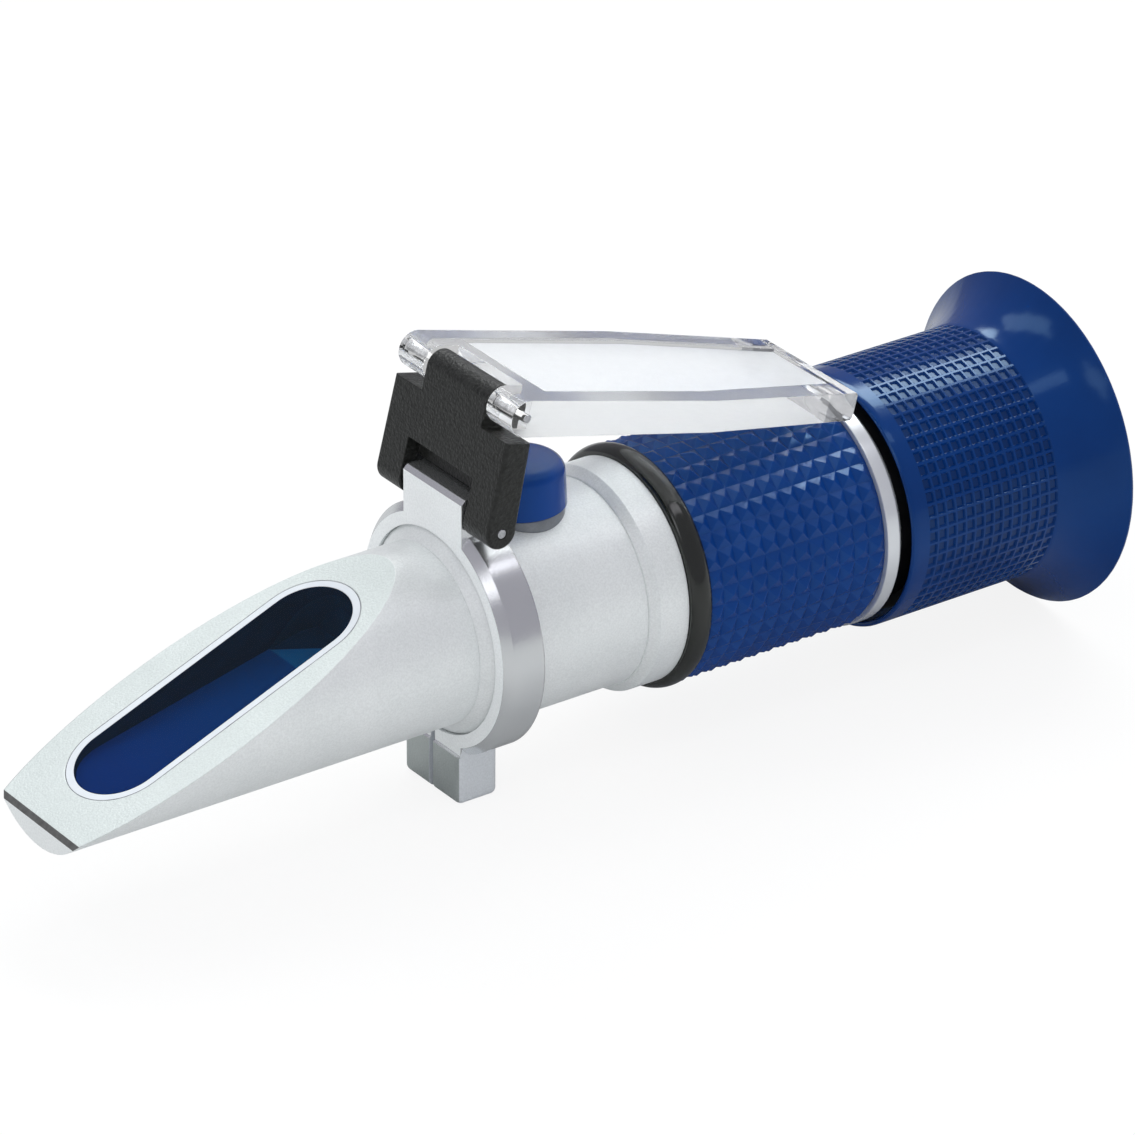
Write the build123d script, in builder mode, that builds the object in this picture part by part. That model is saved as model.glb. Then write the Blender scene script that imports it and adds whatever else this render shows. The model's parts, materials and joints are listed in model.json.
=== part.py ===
from build123d import *
import os
from math import asin, atan2, cos, degrees, hypot, pi, radians, sin, sqrt, tan

os.makedirs("parts", exist_ok=True)

# A handheld refractometer lying level, nose to the left and eyepiece to the right.
# X runs along the optical axis towards the eye, Z is up and Y runs across.
# The origin is on the table, half way along the instrument.

# Lengths along the optical axis, from the nose to the eyecup's rim
nose_length = 49.7
front_tube_length = 21.4
land_length = 4.7
o_ring_section = 2.1
grip_length = 24.5
rear_ring_width = 2.35
focus_gap = 0.5
eyecup_length = 28.0

# Radii about the optical axis
nose_radius = 10.45
front_tube_radius = 11.9
land_radius = 13.0
land_chamfer = 0.9
seat_radius = 12.0
grip_radius = 14.05
sleeve_radius = 15.0
rest_radius = 19.6

# Fits
fixed_gap = 0.02
running_gap = 0.05
sliding_gap = 0.08
clear_gap = 0.35

# Prism nose
prism_angle = 21.7
end_cap_height = 3.05
end_chamfer = 0.45
window_start = 6.0
window_length = 36.0
window_half_width = 5.4
seal_width = 1.0
seal_depth = 1.0
prism_wedge = 17.3
prism_exit = 41.0
nose_bore_radius = 7.6
nose_spigot_radius = 9.55
nose_spigot_length = 7.0
stop_thickness = 1.0
stop_hole_radius = 4.0

# Front tube
front_bore_radius = 9.6
tube_spigot_radius = 11.0
tube_spigot_length = 7.2

# Clamp ring with its hinge boss and its two ears
clamp_setback = 0.95
clamp_width = 4.8
clamp_radius = 14.4
clamp_chamfer = 1.0
boss_half_width = 5.5
boss_top_above_pin = 2.2
boss_chamfer = 0.5
ear_half_width = 5.3
ear_proud = 0.25
ear_bevel = 0.8
ear_edge = 0.2
slit_width = 0.8
clamp_screw_radius = 1.2
clamp_screw_head_radius = 2.2
clamp_screw_head_length = 2.1
clamp_screw_rise = 2.6
clamp_screw_socket = 2.0
clamp_screw_cover = 1.1

# Hinge arm
arm_pin_radius = 0.55
arm_pin_setback = 1.75
arm_pin_height = 15.7
arm_pitch = 13.2
arm_lean = 14.4
arm_half_width = 10.65
arm_ear_radius = 1.9
arm_back = 1.3
shoulder_height = 10.35
neck_half_width = 5.6
window_top = 4.7
hinge_gap = 0.1
cavity_radius = 2.65
cavity_half_width = 6.1
arm_edge = 0.45

# Daylight plate
plate_pin_radius = 0.45
plate_length = 47.8
plate_knuckle_radius = 2.1
plate_end_thickness = 3.3
plate_straight = 26.0
plate_end_half_width = 8.25
knuckle_gap = 0.35
recess_depth = 0.35
recess_start = 3.9
recess_border = 3.0
recess_end_border = 1.6
plate_edge = 0.3

# Calibration screw and its cap
cap_distance = 12.5
cap_radius = 5.2
cap_top_radius = 4.75
cap_round = 1.7
cap_height = 5.4
boss_flange_height = 12.2
boss_flange_radius = 5.0
boss_neck_radius = 4.1
boss_neck_height = 2.2
boss_stem_radius = 3.4
calibration_screw_radius = 1.5
calibration_screw_pitch = 0.7
slot_width = 0.5
slot_depth = 0.9

# Compensator that the calibration screw moves
compensator_width = 5.8
compensator_radius = 8.5
compensator_flat = 7.4
compensator_lens_radius = 6.4
compensator_lens_width = 3.2
compensator_bulge = 0.8
lens_setback = 1.0
strip_thickness = 0.4
strip_width = 5.0
strip_drop = 7.3
strip_reach = 4.6
anchor_length = 3.0
anchor_slot = 1.5

# Main tube and the optics in it
main_bore_radius = 10.2
objective_length = 8.0
objective_radius = 8.45
objective_offset = 1.2
objective_bulge = 0.8
reticle_thickness = 1.5
reticle_ring_length = 1.6
reticle_ring_bore = 8.4

# Studs of the grip sleeve, in rows round it and columns along it
stud_rows = 40
stud_columns = 12
stud_height = 0.55
stud_border = 0.22
groove_margin = 0.05

# Rear ring
rear_ring_bevel = 0.7

# Eyepiece
barrel_radius = 12.3
barrel_length = 17.9
barrel_bore_radius = 9.2
barrel_spigot_length = 7.1
barrel_spigot_bore = 8.6
barrel_deep_bore = 9.5
cell_length = 11.4
cell_flange_radius = 12.0
cell_flange_width = 1.4
cell_lip = 1.0
lens_radius = 8.0
lens_rim = 1.2
lens_flat = 1.0
field_lens_width = 3.0
field_bulge = 1.0
eye_lens_width = 2.8
eye_bulge = 0.8
retainer_width = 1.5
sleeve_wall = 1.22
sleeve_setback = 3.0
sleeve_end = 4.8
sleeve_lip_width = 1.1
sleeve_lip_radius = 8.6
snap_ring_width = 0.35
snap_ring_height = 1.7
snap_ring_opening = 3.0
snap_groove_depth = 0.55
flare_length = 7.6
flare_sagitta = 0.8
rim_wall = 0.9
cup_floor_radius = 12.2
focus_lead = 3.0
focus_turns = 0.5

# Stations along the axis, worked out from the lengths
overall_length = (
    nose_length
    + front_tube_length
    + land_length
    + o_ring_section
    + 2 * running_gap
    + grip_length
    + rear_ring_width
    + focus_gap
    + eyecup_length
)
tip_x = -overall_length / 2
tube_x = tip_x + nose_length
shoulder_x = tube_x + front_tube_length
seat_x = shoulder_x + land_length
grip_x = seat_x + o_ring_section + 2 * running_gap
ring_x = grip_x + grip_length
tube_end_x = ring_x + rear_ring_width
mouth_x = tube_end_x + focus_gap
rim_x = mouth_x + eyecup_length
clamp_x = tube_x + clamp_setback
clamp_mid_x = clamp_x + clamp_width / 2
cap_x = tube_x + cap_distance

axis_z = rest_radius
optical_axis = Axis((0, 0, axis_z), (1, 0, 0))
side = Plane(origin=(0, 0, axis_z), x_dir=(1, 0, 0), z_dir=(0, -1, 0))
cap_side = Plane(origin=(cap_x, 0, axis_z), x_dir=(1, 0, 0), z_dir=(0, -1, 0))
cap_axis = Axis((cap_x, 0, axis_z), (0, 0, 1))


def turn(points, mode=Mode.ADD):
    """Turn a closed outline of (x, radius) points about the optical axis."""
    with BuildSketch(side) as outline:
        with BuildLine():
            Polyline(*points, close=True)
        make_face()
    revolve(outline.sketch, axis=optical_axis, mode=mode)


def turn_ring(front, back, inner, outer, mode=Mode.ADD):
    """Turn a plain ring, or a disc where the inner radius is zero."""
    turn([(front, inner), (back, inner), (back, outer), (front, outer)], mode)


def turn_lens(front, back, radius, front_bulge, back_bulge):
    """Turn a lens with a flat band at its rim; a bulge of zero is a flat face."""
    clear = radius - lens_flat
    with BuildSketch(side) as outline:
        with BuildLine():
            if front_bulge > 0:
                TangentArc((front - front_bulge, 0), (front, clear), tangent=(0, 1))
            else:
                Line((front, 0), (front, clear))
            Polyline((front, clear), (front, radius), (back, radius), (back, clear))
            TangentArc((back + back_bulge, 0), (back, clear), tangent=(0, 1))
            Line((back + back_bulge, 0), (front - front_bulge, 0))
        make_face()
    revolve(outline.sketch, axis=optical_axis)


def cross_hole(x, z, radius, half_length):
    """Cut a round hole across the instrument, along Y."""
    with BuildSketch(Plane(origin=(x, 0, z), x_dir=(1, 0, 0), z_dir=(0, -1, 0))) as hole:
        Circle(radius)
    extrude(hole.sketch, amount=half_length, both=True, mode=Mode.SUBTRACT)


def save(builder, name):
    """Label a finished piece and write it to its own file."""
    builder.part.label = name
    export_step(builder.part, f"parts/{name}.step")


# Oblique plane of the prism, its local X up the slope and its local Z out of the glass
prism_plane = Plane(
    origin=(tip_x, 0, axis_z - nose_radius + end_cap_height),
    x_dir=(cos(radians(prism_angle)), 0, sin(radians(prism_angle))),
    z_dir=(-sin(radians(prism_angle)), 0, cos(radians(prism_angle))),
)
window_mid = window_start + window_length / 2
floor_lean = radians(prism_angle - prism_wedge)
floor_start = prism_plane.from_local_coords((window_start, 0, -seal_depth))
floor_plane = Plane(
    origin=floor_start, x_dir=(cos(floor_lean), 0, sin(floor_lean)), z_dir=(-sin(floor_lean), 0, cos(floor_lean))
)
exit_plane = Plane(origin=(tip_x + prism_exit, 0, 0), x_dir=(0, 1, 0), z_dir=(1, 0, 0))


def window_block(growth, depth):
    """A block with the window's rounded outline, sunk square to the oblique plane."""
    with BuildPart() as block:
        with BuildSketch(prism_plane):
            with Locations((window_mid, 0)):
                SlotOverall(window_length + 2 * growth, 2 * (window_half_width + growth))
        extrude(amount=-depth)
    return block.part


def prism_block(growth):
    """The wedge of glass under the window, or the pocket that it sits in."""
    with BuildPart() as block:
        add(window_block(growth, 2 * nose_radius))
        split(bisect_by=floor_plane.offset(-growth), keep=Keep.TOP)
        split(bisect_by=exit_plane.offset(growth), keep=Keep.BOTTOM)
    return block.part


# Prism housing: a turned nose cut to a slope, with the prism let into it
with BuildPart() as prism_housing:
    turn_ring(tip_x, tube_x, 0, nose_radius)
    turn_ring(tube_x, tube_x + nose_spigot_length, 0, nose_spigot_radius)
    split(bisect_by=prism_plane, keep=Keep.BOTTOM)
    chamfer(prism_housing.edges().filter_by(Axis.Y).sort_by(Axis.X)[0], end_chamfer)
    turn_ring(
        tip_x + prism_exit - end_chamfer, tube_x + nose_spigot_length, 0, nose_bore_radius, Mode.SUBTRACT
    )
    add(prism_block(fixed_gap), mode=Mode.SUBTRACT)
    add(window_block(seal_width, seal_depth), mode=Mode.SUBTRACT)
save(prism_housing, "prism_housing")

# Measuring prism: a glass wedge whose top face is the sample window
with BuildPart() as measuring_prism:
    add(prism_block(0))
save(measuring_prism, "measuring_prism")

# Seal round the window, flush with the sloping face
with BuildPart() as prism_seal:
    add(window_block(seal_width - fixed_gap, seal_depth - fixed_gap))
    add(window_block(fixed_gap, 2 * seal_depth), mode=Mode.SUBTRACT)
save(prism_seal, "prism_seal")

# Stop disc that blocks stray light behind the prism
stop_back = tube_x + nose_spigot_length - 1
with BuildPart() as light_stop:
    turn_ring(stop_back - stop_thickness, stop_back, stop_hole_radius, nose_bore_radius - fixed_gap)
save(light_stop, "light_stop")

# Front tube, with a chamfered front edge and a spigot into the main tube
tube_chamfer = front_tube_radius - nose_radius
with BuildPart() as front_tube:
    turn(
        [
            (tube_x, front_bore_radius),
            (tube_x, nose_radius),
            (tube_x + tube_chamfer, front_tube_radius),
            (shoulder_x, front_tube_radius),
            (shoulder_x, tube_spigot_radius),
            (shoulder_x + tube_spigot_length, tube_spigot_radius),
            (shoulder_x + tube_spigot_length, front_bore_radius),
        ]
    )
    with BuildSketch(Plane.XY.offset(axis_z)):
        with Locations((cap_x, 0)):
            Circle(boss_stem_radius + fixed_gap)
    extrude(amount=land_radius, mode=Mode.SUBTRACT)
save(front_tube, "front_tube")

# Clamp ring: hinge boss above, two split ears below
arm_pin_x = clamp_x + arm_pin_setback
arm_pin_z = axis_z + arm_pin_height
pin_side = Plane(origin=(arm_pin_x, 0, arm_pin_z), x_dir=(1, 0, 0), z_dir=(0, -1, 0))
screw_length = 2 * ear_half_width - clamp_screw_cover
head_plane = Plane(origin=(clamp_mid_x, ear_half_width, clamp_screw_rise), z_dir=(0, 1, 0))
clamp_bore = front_tube_radius + fixed_gap
boss_radius = cavity_radius - hinge_gap
boss_top_back = sqrt(boss_radius**2 - boss_top_above_pin**2)
with BuildPart() as clamp_ring:
    turn(
        [
            (clamp_x, front_tube_radius - clamp_chamfer),
            (clamp_x, clamp_radius - clamp_chamfer),
            (clamp_x + clamp_chamfer, clamp_radius),
            (clamp_x + clamp_width, clamp_radius),
            (clamp_x + clamp_width, front_tube_radius - clamp_chamfer),
        ]
    )
    # Hinge boss, square in front and round behind the pin
    with BuildSketch(pin_side):
        with BuildLine():
            Polyline(
                (0, boss_top_above_pin),
                (-arm_pin_setback + boss_chamfer, boss_top_above_pin),
                (-arm_pin_setback, boss_top_above_pin - boss_chamfer),
                (-arm_pin_setback, -arm_pin_height + front_tube_radius),
                (boss_radius, -arm_pin_height + front_tube_radius),
                (boss_radius, 0),
            )
            RadiusArc((boss_radius, 0), (boss_top_back, boss_top_above_pin), -boss_radius)
            Line((boss_top_back, boss_top_above_pin), (0, boss_top_above_pin))
        make_face()
    extrude(amount=boss_half_width, both=True)
    # Ears, a little wider than the ring and bevelled where they meet it
    ear_top = axis_z - clamp_radius
    with BuildSketch(Plane(origin=(clamp_mid_x, 0, 0), x_dir=(1, 0, 0), z_dir=(0, -1, 0))):
        with BuildLine():
            Polyline(
                (-clamp_width / 2, ear_top + ear_bevel + ear_proud),
                (-clamp_width / 2 - ear_proud, ear_top + ear_bevel),
                (-clamp_width / 2 - ear_proud, 0),
                (clamp_width / 2 + ear_proud, 0),
                (clamp_width / 2 + ear_proud, ear_top + ear_bevel),
                (clamp_width / 2, ear_top + ear_bevel + ear_proud),
                (clamp_width / 2, axis_z),
                (-clamp_width / 2, axis_z),
                close=True,
            )
        make_face()
    extrude(amount=ear_half_width, both=True)
    corners = clamp_ring.edges().filter_by(Axis.Z).filter_by_position(Axis.Z, 0, axis_z - clamp_radius)
    chamfer(corners, ear_edge)
    turn_ring(clamp_x - clamp_width, clamp_x + 2 * clamp_width, 0, clamp_bore, Mode.SUBTRACT)
    with BuildSketch(Plane.XY):
        with Locations((clamp_mid_x, 0)):
            Rectangle(3 * clamp_width, slit_width)
    extrude(amount=axis_z, mode=Mode.SUBTRACT)
    cross_hole(arm_pin_x, arm_pin_z, arm_pin_radius + fixed_gap, arm_half_width)
    # Blind hole for the clamp screw, sunk from the far ear
    with BuildSketch(head_plane):
        Circle(clamp_screw_radius + fixed_gap)
    extrude(amount=-screw_length - fixed_gap, mode=Mode.SUBTRACT)
    with BuildSketch(head_plane):
        Circle(clamp_screw_head_radius + fixed_gap)
    extrude(amount=-clamp_screw_head_length - fixed_gap, mode=Mode.SUBTRACT)
save(clamp_ring, "clamp_ring")

# Clamp screw, its socket head in the far ear and its end inside the near one
with BuildPart() as clamp_screw:
    with BuildSketch(head_plane):
        Circle(clamp_screw_radius)
    extrude(amount=-screw_length)
    with BuildSketch(head_plane):
        Circle(clamp_screw_head_radius)
    extrude(amount=-clamp_screw_head_length)
    with BuildSketch(head_plane):
        RegularPolygon(clamp_screw_socket / 2, 6, major_radius=False)
    extrude(amount=-clamp_screw_head_length / 2, mode=Mode.SUBTRACT)
save(clamp_screw, "clamp_screw")

# Hinge arm: its local X runs up the arm from the lower pin, its local Y out of the front
arm_direction = (sin(radians(arm_lean)), 0, cos(radians(arm_lean)))
arm_side = Plane(origin=(arm_pin_x, 0, arm_pin_z), x_dir=arm_direction, z_dir=(0, -1, 0))
plate_pin_x = arm_pin_x + arm_pitch * sin(radians(arm_lean))
plate_pin_z = arm_pin_z + arm_pitch * cos(radians(arm_lean))
with BuildPart() as hinge_arm:
    with BuildSketch(arm_side):
        with BuildLine():
            Polyline(
                (0, arm_ear_radius),
                (shoulder_height, arm_ear_radius),
                (shoulder_height, -arm_back),
                (0, -arm_ear_radius),
            )
            RadiusArc((0, -arm_ear_radius), (0, arm_ear_radius), arm_ear_radius)
        make_face()
    extrude(amount=arm_half_width, both=True)
    # Round the long outer edges and the front of the ears
    long_edges = hinge_arm.edges().filter_by(arm_side.location.x_axis)
    fillet(long_edges, arm_edge)
    # Neck that rises to the upper pin between the plate's two knuckles
    with BuildSketch(arm_side):
        with BuildLine():
            Polyline(
                (arm_pitch, arm_ear_radius),
                (shoulder_height - arm_edge, arm_ear_radius),
                (shoulder_height - arm_edge, -arm_back),
                (arm_pitch - sqrt(arm_ear_radius**2 - arm_back**2), -arm_back),
            )
            ThreePointArc(
                (arm_pitch - sqrt(arm_ear_radius**2 - arm_back**2), -arm_back),
                (arm_pitch + arm_ear_radius * sin(pi / 4), -arm_ear_radius * cos(pi / 4)),
                (arm_pitch, arm_ear_radius),
            )
        make_face()
    extrude(amount=neck_half_width, both=True)
    # Room for the boss: a round cavity about the pin, and a pocket open to the front
    with BuildSketch(arm_side):
        Circle(cavity_radius)
        with BuildLine():
            Polyline(
                (-2 * arm_ear_radius, 2 * arm_ear_radius),
                (window_top, 2 * arm_ear_radius),
                (window_top, 0),
                (0, 0),
                (0, -2 * arm_ear_radius),
                (-2 * arm_ear_radius, -2 * arm_ear_radius),
                close=True,
            )
        make_face()
    extrude(amount=cavity_half_width, both=True, mode=Mode.SUBTRACT)
    cross_hole(arm_pin_x, arm_pin_z, arm_pin_radius + running_gap, 2 * arm_half_width)
    cross_hole(plate_pin_x, plate_pin_z, plate_pin_radius + fixed_gap, 2 * arm_half_width)
save(hinge_arm, "hinge_arm")

# Lower pin, held in the boss, on which the arm's two ears turn
with BuildPart() as arm_pin:
    with BuildSketch(pin_side):
        Circle(arm_pin_radius)
    extrude(amount=arm_half_width, both=True)
save(arm_pin, "arm_pin")

# Daylight plate, folded back until its free end lies just over the grip
rest_height = grip_radius + clear_gap
plate_drop = plate_pin_z - axis_z - rest_height
end_underside = plate_end_thickness - plate_knuckle_radius
plate_tilt = degrees(
    asin(plate_drop / hypot(plate_length, end_underside)) - atan2(end_underside, plate_length)
)
plate_direction = (cos(radians(plate_tilt)), 0, -sin(radians(plate_tilt)))
plate_face_normal = (sin(radians(plate_tilt)), 0, cos(radians(plate_tilt)))
plate_side = Plane(origin=(plate_pin_x, 0, plate_pin_z), x_dir=plate_direction, z_dir=(0, -1, 0))
plate_top = Plane(
    origin=(
        plate_pin_x + plate_knuckle_radius * plate_face_normal[0],
        0,
        plate_pin_z + plate_knuckle_radius * plate_face_normal[2],
    ),
    x_dir=plate_direction,
    z_dir=plate_face_normal,
)
recess_half_width = arm_half_width - recess_border
recess_taper = arm_half_width - plate_end_half_width
notch_half_width = neck_half_width + knuckle_gap
with BuildPart() as daylight_plate:
    with BuildSketch(plate_side):
        with BuildLine():
            Polyline(
                (0, plate_knuckle_radius),
                (plate_length, plate_knuckle_radius),
                (plate_length, -end_underside),
                (0, -plate_knuckle_radius),
            )
            RadiusArc((0, -plate_knuckle_radius), (0, plate_knuckle_radius), plate_knuckle_radius)
        make_face()
    extrude(amount=arm_half_width, both=True)
    # Sides that run parallel and then draw in towards the free end
    with BuildSketch(plate_top):
        with BuildLine():
            Polyline(
                (-2 * plate_knuckle_radius, arm_half_width),
                (plate_straight, arm_half_width),
                (plate_length, plate_end_half_width),
                (plate_length, -plate_end_half_width),
                (plate_straight, -arm_half_width),
                (-2 * plate_knuckle_radius, -arm_half_width),
                close=True,
            )
        make_face()
    extrude(amount=2 * plate_knuckle_radius, both=True, mode=Mode.INTERSECT)
    chamfer(daylight_plate.edges().filter_by(Axis.Y).sort_by(Axis.X)[-2:], plate_edge)
    # Shallow recess of the diffusing panel, inside a raised border
    with BuildSketch(plate_top):
        with BuildLine():
            Polyline(
                (recess_start, recess_half_width),
                (plate_straight, recess_half_width),
                (plate_length - recess_end_border, recess_half_width - recess_taper),
                (plate_length - recess_end_border, recess_taper - recess_half_width),
                (plate_straight, -recess_half_width),
                (recess_start, -recess_half_width),
                close=True,
            )
        make_face()
    extrude(amount=-recess_depth, mode=Mode.SUBTRACT)
    # Notch between the two knuckles, for the arm's neck
    with BuildSketch(plate_top):
        with Locations((0, 0)):
            Rectangle(2 * (arm_ear_radius + knuckle_gap), 2 * notch_half_width)
        with Locations((-plate_knuckle_radius, 0)):
            Rectangle(2 * plate_knuckle_radius, 2 * notch_half_width)
    extrude(amount=-4 * plate_knuckle_radius, mode=Mode.SUBTRACT)
    cross_hole(plate_pin_x, plate_pin_z, plate_pin_radius + running_gap, 2 * arm_half_width)
save(daylight_plate, "daylight_plate")

# Upper pin, held in the arm's neck, on which the plate turns
with BuildPart() as plate_pin:
    with BuildSketch(plate_side):
        Circle(plate_pin_radius)
    extrude(amount=arm_half_width, both=True)
save(plate_pin, "plate_pin")

# Boss of the calibration screw, saddled on the front tube
with BuildPart() as calibration_boss:
    with BuildSketch(Plane.XY.offset(axis_z)):
        with Locations((cap_x, 0)):
            Circle(boss_flange_radius)
    extrude(amount=boss_flange_height)
    turn_ring(tube_x, shoulder_x, 0, front_tube_radius + fixed_gap, Mode.SUBTRACT)
    with BuildSketch(Plane.XY.offset(axis_z + boss_flange_height)):
        with Locations((cap_x, 0)):
            Circle(boss_neck_radius)
    extrude(amount=boss_neck_height)
    with BuildSketch(Plane.XY.offset(axis_z + front_bore_radius)):
        with Locations((cap_x, 0)):
            Circle(boss_stem_radius)
    extrude(amount=boss_flange_height - front_bore_radius)
    with BuildSketch(Plane.XY.offset(axis_z)):
        with Locations((cap_x, 0)):
            Circle(calibration_screw_radius + running_gap)
    extrude(amount=2 * front_tube_radius, mode=Mode.SUBTRACT)
save(calibration_boss, "calibration_boss")

# Calibration screw with a driver slot, its tip over the compensator
screw_top = boss_flange_height + boss_neck_height - slot_depth / 2
screw_tip = compensator_flat + running_gap
with BuildPart() as calibration_screw:
    with BuildSketch(Plane.XY.offset(axis_z + screw_tip)):
        with Locations((cap_x, 0)):
            Circle(calibration_screw_radius)
    extrude(amount=screw_top - screw_tip)
    with BuildSketch(Plane.XY.offset(axis_z + screw_top)):
        with Locations((cap_x, 0)):
            Rectangle(3 * calibration_screw_radius, slot_width)
    extrude(amount=-slot_depth, mode=Mode.SUBTRACT)
save(calibration_screw, "calibration_screw")

# Domed rubber cap over the calibration screw
cap_base = boss_flange_height + running_gap
cap_bore_top = boss_flange_height + boss_neck_height + clear_gap
with BuildPart() as calibration_cap:
    with BuildSketch(cap_side):
        with BuildLine():
            Polyline(
                (boss_neck_radius + sliding_gap, cap_base),
                (cap_radius, cap_base),
                (cap_top_radius, cap_base + cap_height - cap_round),
            )
            cap_shoulder = (cap_top_radius, cap_base + cap_height - cap_round)
            TangentArc(
                cap_shoulder,
                (cap_top_radius - cap_round, cap_base + cap_height),
                tangent=(0, 1),
            )
            Polyline(
                (cap_top_radius - cap_round, cap_base + cap_height),
                (0, cap_base + cap_height),
                (0, cap_bore_top),
                (boss_neck_radius + sliding_gap, cap_bore_top),
                (boss_neck_radius + sliding_gap, cap_base),
            )
        make_face()
    revolve(axis=cap_axis)
save(calibration_cap, "calibration_cap")

# Compensator cell, with a flat for the screw and a strip that carries it
cell_front = cap_x - compensator_width / 2
cell_back = cap_x + compensator_width / 2
strip_plane = Plane.XY.offset(axis_z - strip_drop - strip_thickness)
with BuildPart() as compensator_cell:
    turn_ring(cell_front, cell_back, compensator_lens_radius + fixed_gap, compensator_radius)
    split(bisect_by=Plane.XY.offset(axis_z + compensator_flat), keep=Keep.BOTTOM)
save(compensator_cell, "compensator_cell")

# Bimetal strip that moves the compensator with temperature
with BuildPart() as bimetal_strip:
    with BuildSketch(strip_plane):
        with Locations((cell_back + strip_reach / 2, 0)):
            Rectangle(strip_reach, strip_width)
    extrude(amount=strip_thickness)
save(bimetal_strip, "bimetal_strip")

# Anchor in the front tube that the strip's end sits in
anchor_x = cell_back + strip_reach - anchor_length + clear_gap
with BuildPart() as strip_anchor:
    turn_ring(
        anchor_x, anchor_x + anchor_length, compensator_lens_radius, front_bore_radius - fixed_gap
    )
    split(bisect_by=Plane.XY.offset(axis_z - compensator_lens_radius / 2), keep=Keep.BOTTOM)
    with BuildSketch(Plane.XY.offset(axis_z - strip_drop - strip_thickness / 2)):
        with Locations((anchor_x, 0)):
            Rectangle(2 * anchor_length - clear_gap, strip_width + 2 * clear_gap)
    extrude(amount=anchor_slot / 2, both=True, mode=Mode.SUBTRACT)
save(strip_anchor, "strip_anchor")

# Compensator lens, flat towards the prism
compensator_lens_front = cell_front + lens_setback
with BuildPart() as compensator_lens:
    turn_lens(
        compensator_lens_front,
        compensator_lens_front + compensator_lens_width,
        compensator_lens_radius,
        0,
        compensator_bulge,
    )
save(compensator_lens, "compensator_lens")

# Main tube: a bare land, then the seat of the O-ring, grip and rear ring
with BuildPart() as main_tube:
    turn(
        [
            (shoulder_x, tube_spigot_radius + fixed_gap),
            (shoulder_x, land_radius - land_chamfer),
            (shoulder_x + land_chamfer, land_radius),
            (seat_x, land_radius),
            (seat_x, seat_radius),
            (tube_end_x, seat_radius),
            (tube_end_x, main_bore_radius),
            (shoulder_x + tube_spigot_length, main_bore_radius),
            (shoulder_x + tube_spigot_length, tube_spigot_radius + fixed_gap),
        ]
    )
save(main_tube, "main_tube")

# Rubber O-ring between the land and the grip
with BuildPart() as grip_o_ring:
    with BuildSketch(side):
        with Locations((seat_x + running_gap + o_ring_section / 2, seat_radius + o_ring_section / 2)):
            Circle(o_ring_section / 2 - fixed_gap)
    revolve(axis=optical_axis)
save(grip_o_ring, "grip_o_ring")

# Grip sleeve: grooves turned round it cross grooves along it and leave four-sided studs
stud_base = grip_radius - stud_height
stud_pitch = (grip_length - 2 * stud_border) / stud_columns
grip_outline = [
    (ring_x, stud_base),
    (ring_x, seat_radius + fixed_gap),
    (grip_x, seat_radius + fixed_gap),
    (grip_x, stud_base),
]
for column in range(stud_columns):
    stud_x = grip_x + stud_border + column * stud_pitch
    grip_outline.append((stud_x, stud_base - groove_margin))
    grip_outline.append((stud_x + stud_pitch / 2, grip_radius + groove_margin))
grip_outline.append((ring_x - stud_border, stud_base - groove_margin))
with BuildPart() as grip_sleeve:
    turn(grip_outline)
    with BuildSketch(Plane(origin=(grip_x, 0, axis_z), x_dir=(0, 1, 0), z_dir=(1, 0, 0))):
        with BuildLine():
            star = []
            for row in range(stud_rows):
                valley = 2 * pi * row / stud_rows
                crest = valley + pi / stud_rows
                star.append((stud_base * cos(valley), stud_base * sin(valley)))
                star.append((grip_radius * cos(crest), grip_radius * sin(crest)))
            Polyline(*star, close=True)
        make_face()
    extrude(amount=grip_length, mode=Mode.INTERSECT)
save(grip_sleeve, "grip_sleeve")

# Rear ring that holds the grip, bevelled towards the eyepiece
with BuildPart() as rear_ring:
    turn(
        [
            (ring_x, seat_radius + fixed_gap),
            (ring_x, grip_radius),
            (tube_end_x - rear_ring_bevel, grip_radius),
            (tube_end_x, grip_radius - rear_ring_bevel),
            (tube_end_x, seat_radius + fixed_gap),
        ]
    )
save(rear_ring, "rear_ring")

# Objective: a cell, a lens with two curved faces, and a threaded retainer
objective_x = shoulder_x + tube_spigot_length + objective_offset
objective_end = objective_x + objective_length
with BuildPart() as objective_cell:
    turn(
        [
            (objective_x, objective_radius - lens_flat),
            (objective_x, main_bore_radius - fixed_gap),
            (objective_end, main_bore_radius - fixed_gap),
            (objective_end, objective_radius + fixed_gap),
            (objective_x + lens_rim, objective_radius + fixed_gap),
            (objective_x + lens_rim, objective_radius - lens_flat),
        ]
    )
save(objective_cell, "objective_cell")

lens_front = objective_x + lens_rim + fixed_gap
lens_back = objective_end - retainer_width - fixed_gap
with BuildPart() as objective_lens:
    turn_lens(lens_front, lens_back, objective_radius, objective_bulge, objective_bulge)
save(objective_lens, "objective_lens")

with BuildPart() as objective_retainer:
    turn_ring(
        objective_end - retainer_width, objective_end, objective_radius - lens_flat / 2, objective_radius
    )
save(objective_retainer, "objective_retainer")

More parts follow.
